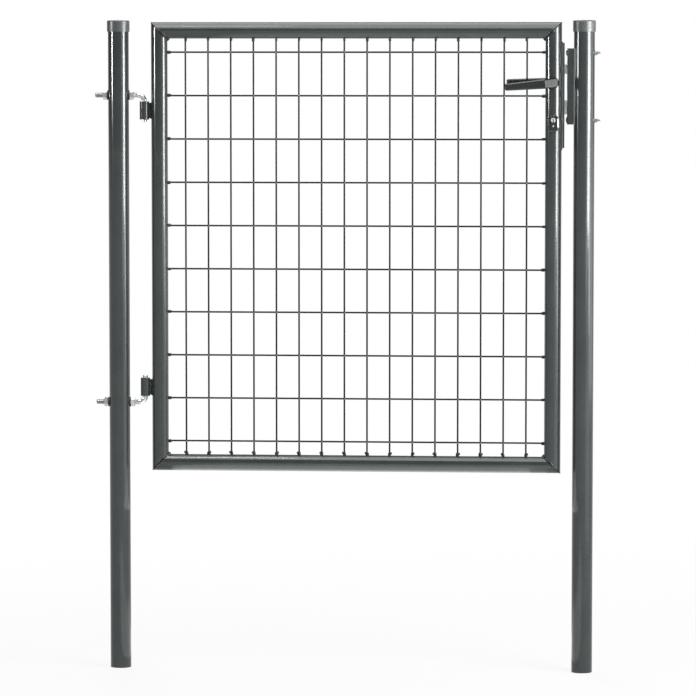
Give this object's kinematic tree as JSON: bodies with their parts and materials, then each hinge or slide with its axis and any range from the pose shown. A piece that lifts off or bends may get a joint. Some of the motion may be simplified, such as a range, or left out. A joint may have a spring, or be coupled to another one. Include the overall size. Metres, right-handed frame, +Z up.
{
  "type": "mesh fence gate",
  "caption": "Single garden gate: welded wire mesh in a round-tube frame, hung on hook-bolt hinges between two round posts, with a lever lock and a strike channel.",
  "frame": {"origin": "centre of the hinge post's foot, on the plane that both posts end in", "axes": "+X from the hinge post to the latch post, +Z up along the posts, -Y towards the front that the picture shows"},
  "size_m": [1.1655, 0.132, 1.505],
  "materials": {
    "frame_paint": "anthracite powder coat, satin",
    "cap_plastic": "dark grey, matt",
    "saddle_plastic": "black, matt",
    "zinc_steel": "zinc plated",
    "lock_steel": "plain steel",
    "forend_steel": "dark coated",
    "handle_plastic": "black-grey, satin gloss",
    "cylinder_nickel": "satin nickel"
  },
  "bodies": {
    "posts": {"hinge_post": "frame_paint", "hinge_post_cap": "cap_plastic", "latch_post": "frame_paint", "latch_post_cap": "cap_plastic", "upper_hinge_bolt": "zinc_steel", "lower_hinge_bolt": "zinc_steel", "hinge_nuts": "zinc_steel", "saddle_washers": "saddle_plastic", "strike_channel": "frame_paint", "strike_bolts": "zinc_steel", "strike_washers": "zinc_steel", "strike_nuts": "zinc_steel"},
    "gate_leaf": {"hinge_stile": "frame_paint", "lock_stile": "frame_paint", "top_rail": "frame_paint", "bottom_rail": "frame_paint", "upright_wires": "frame_paint", "cross_wires": "frame_paint", "upper_hinge_barrel": "frame_paint", "lower_hinge_barrel": "frame_paint", "lock_seat": "frame_paint", "lock_case": "lock_steel", "lock_cover": "lock_steel", "forend": "forend_steel", "forend_screws": "zinc_steel", "cylinder_screw": "zinc_steel", "cylinder_body": "cylinder_nickel", "front_escutcheon": "handle_plastic", "rear_escutcheon": "handle_plastic", "front_rose": "handle_plastic", "rear_rose": "handle_plastic", "latch_spring": "lock_steel"},
    "lever": {"front_lever": "handle_plastic", "rear_lever": "handle_plastic", "spindle": "lock_steel", "follower": "lock_steel", "lever_grub_screws": "lock_steel"},
    "latch_bolt": {"latch_bolt": "zinc_steel"},
    "cylinder": {"front_plug": "cylinder_nickel", "rear_plug": "cylinder_nickel", "cylinder_cam": "cylinder_nickel"},
    "dead_bolt": {"dead_bolt": "zinc_steel"}
  },
  "joints": [
    {"name": "gate_swing", "type": "hinge", "parent": "posts", "child": "gate_leaf", "pos_m": [0.06, 0, 0.9765], "axis": [0, 0, 1], "range_deg": [-110, 110]},
    {"name": "lever_turn", "type": "hinge", "parent": "gate_leaf", "child": "lever", "pos_m": [1.004, 0, 1.361], "axis": [0, -1, 0], "range_deg": [0, 40]},
    {"name": "latch_slide", "type": "slide", "parent": "gate_leaf", "child": "latch_bolt", "axis": [-1, 0, 0], "range_m": [0, 0.012], "stiffness_N_per_m": 500, "springref_m": -0.02, "deforming": ["latch_spring"]},
    {"name": "cylinder_turn", "type": "hinge", "parent": "gate_leaf", "child": "cylinder", "pos_m": [1.004, 0, 1.276], "axis": [0, -1, 0], "range_deg": [0, 360]},
    {"name": "dead_bolt_slide", "type": "slide", "parent": "gate_leaf", "child": "dead_bolt", "axis": [-1, 0, 0], "range_m": [0, 0.018]}
  ],
  "couplings": [
    {"joint": "latch_slide", "follows": "lever_turn", "m_per_rad": 0.017189},
    {"joint": "cylinder_turn", "follows": "dead_bolt_slide", "rad_per_m": 349.06}
  ]
}
